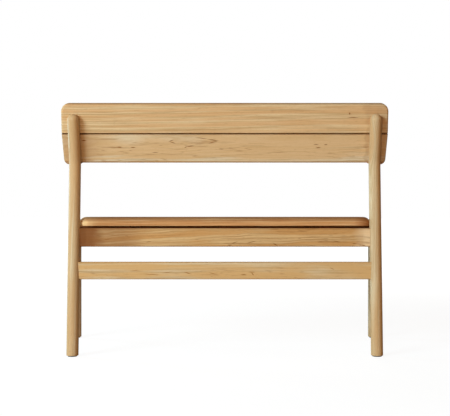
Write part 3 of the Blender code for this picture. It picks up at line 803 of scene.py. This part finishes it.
# painted shade: the front rail's inner face is darkened, as the shaded inside seen through the gap
# under the seat
frontRailWood = {**railWood, "seed": 21.3, "paintedPatches": [("w", 0.006, 0.012, 0.90, innerShade)]}
stretcherWood = {
    "pale": (0.705, 0.550, 0.340), "deep": (0.500, 0.320, 0.145), "rosy": (0.650, 0.405, 0.175),
    "markAndEdgeShade": (0.320, 0.145, 0.050), "streak": (0.340, 0.150, 0.040), "gloss": 0.0,
    "seed": 17.9, "pith": (-0.05, 0.09), "tilt": (0.02, 0.01), "drift": 0.030, "ripple": 0.0055,
    "shares": (0.22, 0.60, 1.25), "rosiness": 0.95, "wisps": 0.34,
    "streaks": [
        (0.298, -0.0007, 0.022, 0.0016, 0.0), (0.244, -0.0127, 0.028, 0.0013, 0.0),
        (0.193, -0.0054, 0.018, 0.0012, -0.13), (0.124, -0.0084, 0.017, 0.0014, 0.22),
        (0.038, -0.0097, 0.019, 0.0014, 0.20), (-0.090, -0.0050, 0.014, 0.0017, 0.0),
        (-0.093, -0.0107, 0.007, 0.0021, 0.90), (-0.063, -0.0134, 0.012, 0.0020, 0.0),
        (-0.358, 0.0067, 0.010, 0.0014, 0.45),
    ],
}
# painted shade: the bearers are coloured near black, as the shade under the seat
shadedBearerWood = {
    **railWood, "seed": 61.0, "pale": (0.160, 0.050, 0.018), "deep": (0.110, 0.030, 0.010),
    "rosy": (0.140, 0.040, 0.013), "markAndEdgeShade": (0.080, 0.022, 0.007),
}
legWood = {
    "pale": (0.655, 0.510, 0.315), "deep": (0.460, 0.305, 0.145), "rosy": (0.575, 0.350, 0.160),
    "markAndEdgeShade": (0.300, 0.140, 0.050), "gloss": 0.06,
    "seed": 41.0, "pith": (0.05, 0.05), "tilt": (0.01, 0.02), "drift": 0.020, "ripple": 0.0020,
    "shares": (0.20, 0.46, 1.0), "rosiness": 0.75,
}
# painted light: a paler copy of the leg wood for a front leg that is seen in shade
litLegWood = {
    **legWood, "pale": (0.760, 0.600, 0.400), "deep": (0.560, 0.390, 0.210),
    "rosy": (0.660, 0.420, 0.210),
}
legSeedStep = 3.7
# painted shade: the back legs' side toward -X, away from the key lamp, is darkened to orange
legShading = {"back_leg_left": 0.80, "back_leg_right": 0.35}  # how orange the side toward -X is
legShadePatch = ("v", 0.004, -0.015)

railAxes = (alongBench, upright, alongDepth)
lowerMiddle = knee + upAlongRest * board["lowerHeight"] / 2
upperMiddle = knee + upAlongRest * (upperFoot + board["upperHeight"] / 2)
seatMiddle = (0, 0.1760, 0.445)
rearRailMiddle = (0, 0.19, railMiddle)
frontRailMiddle = (0, -0.224, railMiddle)
barMiddle = (0, 0.2, stretcherMiddle)

upperOak = timber("oak upper board", boardAxes, upperMiddle, upperWood, halfUpper)
lowerOak = timber("oak lower board", boardAxes, lowerMiddle, lowerWood, halfLower)
seatOak = timber("oak seat", seatAxes, seatMiddle, seatWood)
rearOak = timber("oak rear rail", railAxes, rearRailMiddle, rearRailWood, halfRail)
frontOak = timber("oak front rail", railAxes, frontRailMiddle, frontRailWood, halfRail)
stretcherOak = timber("oak stretcher", railAxes, barMiddle, stretcherWood, halfStretcher)
present(upperBoard, upperOak, "oak", "back_board_upper")
present(lowerBoard, lowerOak, "oak", "back_board_lower")
present(rearRail, rearOak, "oak", "rear_seat_rail")
present(frontRail, frontOak, "oak", "front_seat_rail")
present(stretcherBar, stretcherOak, "oak", "rear_stretcher")
present(seatSlab, seatOak, "oak", "seat_board")

sideWood = {"run": -0.41, "middle": 0.53, "seed": 31.0}


# A side rail's grain runs from back leg to front leg, which are about run apart in depth
def sideRailOak(end, side):
    way = np.array([side * (leg["frontSpread"] - leg["backSpread"]), sideWood["run"], 0.0])
    way /= np.linalg.norm(way)
    axes = (way, upright, np.cross(way, upright))
    middle = (side * sideWood["middle"], 0, railMiddle)
    wood = {**railWood, "seed": sideWood["seed"] + side}
    return timber(f"oak side rail {end}", axes, middle, wood, halfRail)


# A leg's grain runs along its shank, measured from the floor on its axis
def legOak(node, number):
    side = -1 if "left" in node else 1
    back = "back" in node
    way = shankWay if back else upright
    axes = (way, alongBench, np.cross(way, alongBench))
    spread, footY = (leg["backSpread"], leg["footY"]) if back else (leg["frontSpread"], -leg["footY"])
    wood = dict(litLegWood if node == "front_leg_right" else legWood)
    wood["seed"] = legWood["seed"] + number * legSeedStep
    wood["paintedPatches"] = [(*legShadePatch, legShading[node], shadeOrange)] if back else []
    return timber(f"oak {node}", axes, (side * spread, footY, 0.0), wood)


for end, side in ends.items():
    present(sideRails[end], sideRailOak(end, side), "oak", f"side_rail_{end}")
for number, (node, item) in enumerate(legs.items()):
    present(item, legOak(node, number), "turned_oak", node)


# Hidden parts keep the frame's own meshes

speck = {"scale": 900.0, "detail": 3.0, "strength": 0.2, "distance": 0.0001, "rough": 0.15}


def plainMaterial(name, colour, roughness, metallic=0.0):
    maker = Maker(bpy.data.materials.new(name))
    point = maker.add("ShaderNodeTexCoord", out="Object")
    specks = maker.noise(point, [speck["scale"]] * 3, 0.0, speck["detail"])
    values = {"Strength": speck["strength"], "Distance": speck["distance"], "Height": specks}
    return maker.surface({
        "Base Color": (*colour, 1.0), "Roughness": roughness + (specks - 0.5) * speck["rough"],
        "Metallic": metallic, "Normal": maker.add("ShaderNodeBump", None, values),
    })


bearerAxes = (alongDepth, alongBench, upright)
bearerMiddle = (0, 0, 0.42)
hidden = {
    "bearer": timber("oak bearers", bearerAxes, bearerMiddle, shadedBearerWood),
    "glide": plainMaterial("dark nylon", (0.05, 0.04, 0.032), 0.5),
    "screw": plainMaterial("zinc plated steel", (0.62, 0.62, 0.60), 0.32, 1.0),
    "dowel": plainMaterial("beech dowel", (0.64, 0.44, 0.27), 0.6),
}
for name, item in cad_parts.items():
    for kind, material in hidden.items():
        if kind in name:
            dress(item, material)
print("finishes set")


# Floor, light and camera

floor = {
    "size": 40.0, "bounce": (0.42, 0.36, 0.30), "pale": (0.90, 0.90, 0.90), "glow": 0.80,
    "level": 1.12, "near": 1.6, "far": 4.5,
}
sky = {"level": (0.175, 0.112, 0.070), "zenith": (0.125, 0.082, 0.053)}
# name: power, colour, place, size
lamps = {
    "key": (530.0, (0.70, 0.90, 1.0), (5.0, 5.2, 2.6), 3.6),
    "rim": (155.0, (0.50, 0.80, 1.0), (4.7, -2.3, 1.2), 1.4),
    "warm fill": (115.0, (1.0, 0.68, 0.44), (0.8, 6.0, 1.4), 3.0),
    "front fill": (110.0, (1.0, 0.93, 0.85), (0.6, -5.6, 2.2), 3.0),
}
lampTarget = Vector((0.0, 0.0, 0.45))
camera = {
    "place": (0.0, 3.304, 0.4924), "turn": (90, 0, 180), "lens": 74.16, "sensor": 36.0,
    "shift": 0.25 / 450,
}
white = (1.0, 1.0, 1.0, 1.0)


# A plain floor that glows white to the camera and fades to full white far out, and keeps the
# bench's shadow near it
def makeFloor():
    half = floor["size"]
    corners = np.array([[-half, -half, 0], [half, -half, 0], [half, half, 0], [-half, half, 0]])
    item = newObject("floor", corners, [[0, 1, 2, 3]])
    maker = Maker(bpy.data.materials.new("pale floor"))
    seen = maker.add("ShaderNodeLightPath", out="Is Camera Ray")
    distance = maker.length(maker.add("ShaderNodeTexCoord", out="Object"))
    far = distance.between(floor["near"], floor["far"])
    share = floor["glow"] + far * (1.0 - floor["glow"])
    tone = maker.mix(seen, floor["bounce"], floor["pale"])
    matt = maker.add("ShaderNodeBsdfDiffuse", None, {"Color": tone})
    glow = maker.add("ShaderNodeEmission", None, {"Color": white, "Strength": floor["level"]})
    both = maker.add("ShaderNodeMixShader", None, {0: seen * share, 1: matt, 2: glow})
    maker.add("ShaderNodeOutputMaterial", None, {0: both})
    dress(item, maker.owner)


# A soft sky that lights the bench, and plain white wherever it is seen
def makeWorld():
    bpy.context.scene.world = bpy.data.worlds.new("studio")
    maker = Maker(bpy.context.scene.world)
    direction = maker.add("ShaderNodeTexCoord", out="Generated")
    rise = maker.add("ShaderNodeSeparateXYZ", None, {0: direction}, "Z")
    tone = maker.mix(rise, sky["level"], sky["zenith"])
    plain = maker.add("ShaderNodeBackground", None, {"Color": tone})
    pale = maker.add("ShaderNodeBackground", None, {"Color": white})
    both = maker.add("ShaderNodeMixShader", None, {0: maker.seen(), 1: plain, 2: pale})
    maker.add("ShaderNodeOutputWorld", None, {0: both})


def makeLamp(name, power, colour, where, size):
    lamp = bpy.data.lights.new(name, "AREA")
    lamp.color = colour
    lamp.energy = power
    lamp.shape = "DISK"
    lamp.size = size
    item = bpy.data.objects.new(name, lamp)
    bpy.context.scene.collection.objects.link(item)
    item.location = where
    item.rotation_euler = (lampTarget - item.location).to_track_quat("-Z", "Y").to_euler()


def makeCamera():
    lens = bpy.data.cameras.new("camera")
    lens.lens = camera["lens"]
    lens.sensor_width = camera["sensor"]
    lens.shift_x = camera["shift"]
    item = bpy.data.objects.new("camera", lens)
    item.location = camera["place"]
    item.rotation_euler = [math.radians(angle) for angle in camera["turn"]]
    bpy.context.scene.collection.objects.link(item)
    bpy.context.scene.camera = item


makeFloor()
makeWorld()
for name, values in lamps.items():
    makeLamp(name, *values)
makeCamera()
bpy.context.scene.view_settings.view_transform = "Standard"
bpy.context.view_layer.update()
print("floor, light and camera set")

print("done")
